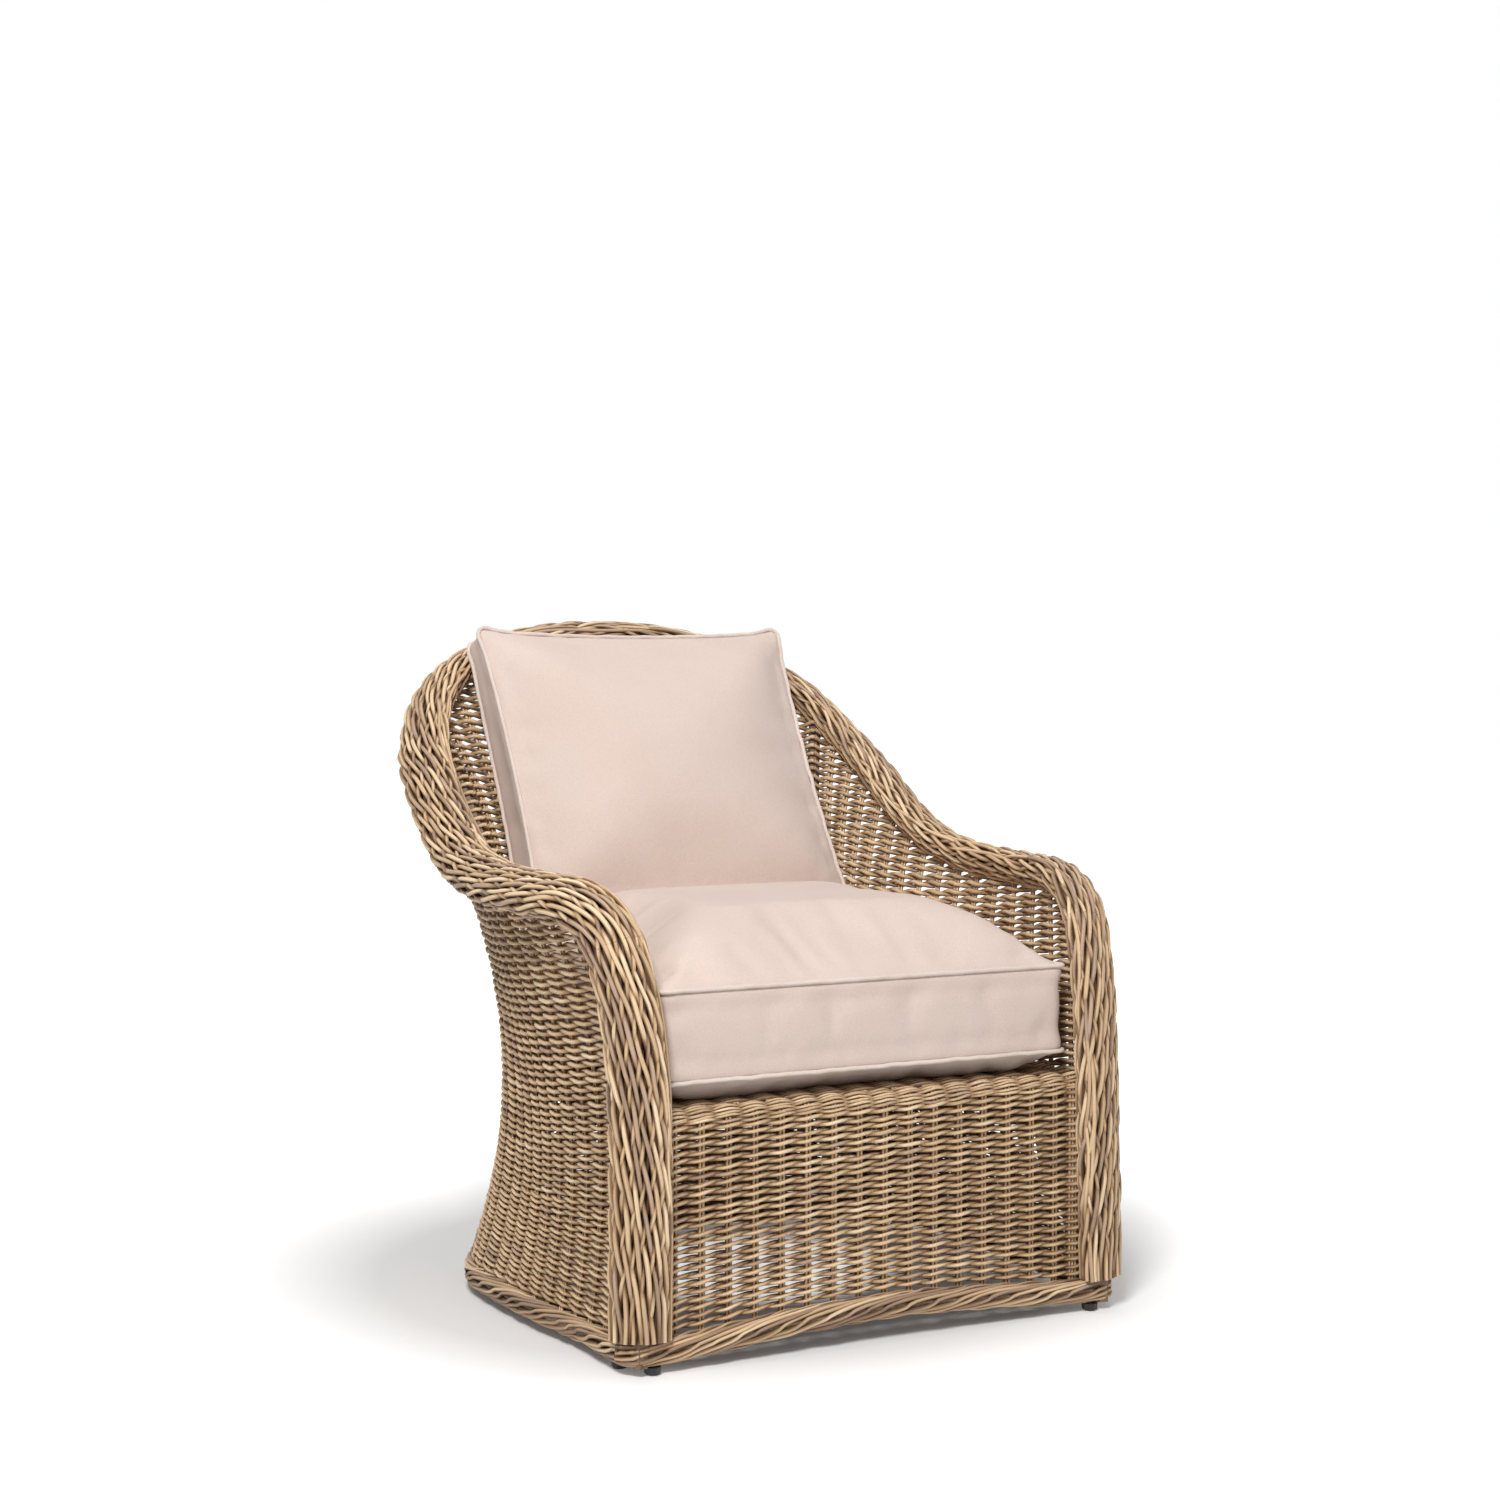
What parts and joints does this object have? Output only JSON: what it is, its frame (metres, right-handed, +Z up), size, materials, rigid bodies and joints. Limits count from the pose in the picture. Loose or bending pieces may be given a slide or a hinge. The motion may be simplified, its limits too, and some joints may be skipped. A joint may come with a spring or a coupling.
{
  "type": "woven cane lounge armchair",
  "caption": "Barrel-backed lounge armchair of woven cane on a pole frame, with a boxed seat cushion and a loose back cushion.",
  "frame": {"origin": "on the floor, under the middle of the chair's width and depth", "axes": "+Z up, the sitter faces -Y, +X to the right seen from the front with the chair facing the viewer"},
  "size_m": [0.8012, 0.8973, 0.8817],
  "materials": {
    "cane": "round weathered cane, woven, matt with a slight wax sheen",
    "pole": "peeled rattan pole, stained brown, satin",
    "cushion_fabric": "fine twill outdoor fabric with self piping",
    "filling": "foam and fibre wadding",
    "zip": "coil zip tape",
    "zip_slider": "painted zinc",
    "glide": "moulded nylon"
  },
  "bodies": {
    "chair": {"apron_weave": "cane", "arm_braid_left": "cane", "arm_braid_right": "cane", "back_rim_braid": "cane", "back_upright_left": "pole", "back_upright_middle": "pole", "back_upright_right": "pole", "base_front_pole": "pole", "base_hoop_pole": "pole", "border_back": "cane", "border_front": "cane", "border_left": "cane", "border_right": "cane", "front_leg_left": "pole", "front_leg_right": "pole", "glide_corner_left": "glide", "glide_corner_right": "glide", "glide_front_left": "glide", "glide_front_right": "glide", "glide_rear_left": "glide", "glide_rear_right": "glide", "glide_side_left": "glide", "glide_side_right": "glide", "post_braid_left": "cane", "post_braid_right": "cane", "rim_pole": "pole", "seat_bar_1": "pole", "seat_bar_2": "pole", "seat_bar_3": "pole", "seat_deck_weave": "cane", "seat_front_rail": "pole", "seat_front_roll": "cane", "seat_hoop_pole": "pole", "weave_back_left": "cane", "weave_back_right": "cane", "weave_side_left": "cane", "weave_side_right": "cane"},
    "seat_cushion": {"seat_cushion_cover": "cushion_fabric", "seat_foam_core": "filling", "seat_piping_upper": "cushion_fabric", "seat_piping_lower": "cushion_fabric", "seat_zip": "zip"},
    "seat_zip_slider": {"seat_zip_slider": "zip_slider"},
    "back_cushion": {"back_cushion_cover": "cushion_fabric", "back_fibre_core": "filling", "back_piping_upper": "cushion_fabric", "back_piping_lower": "cushion_fabric", "back_zip": "zip"},
    "back_zip_slider": {"back_zip_slider": "zip_slider"}
  },
  "joints": [
    {"name": "seat_cushion_lift", "type": "slide", "parent": "chair", "child": "seat_cushion", "axis": [0, 0, 1], "range_m": [0, 0.6]},
    {"name": "back_cushion_lift", "type": "slide", "parent": "seat_cushion", "child": "back_cushion", "axis": [0, 0, 1], "range_m": [0, 0.5]},
    {"name": "seat_zip_slide", "type": "slide", "parent": "seat_cushion", "child": "seat_zip_slider", "axis": [1, 0, 0], "range_m": [0, 0.206]},
    {"name": "back_zip_slide", "type": "slide", "parent": "back_cushion", "child": "back_zip_slider", "axis": [1, 0, 0], "range_m": [0, 0.36]}
  ]
}
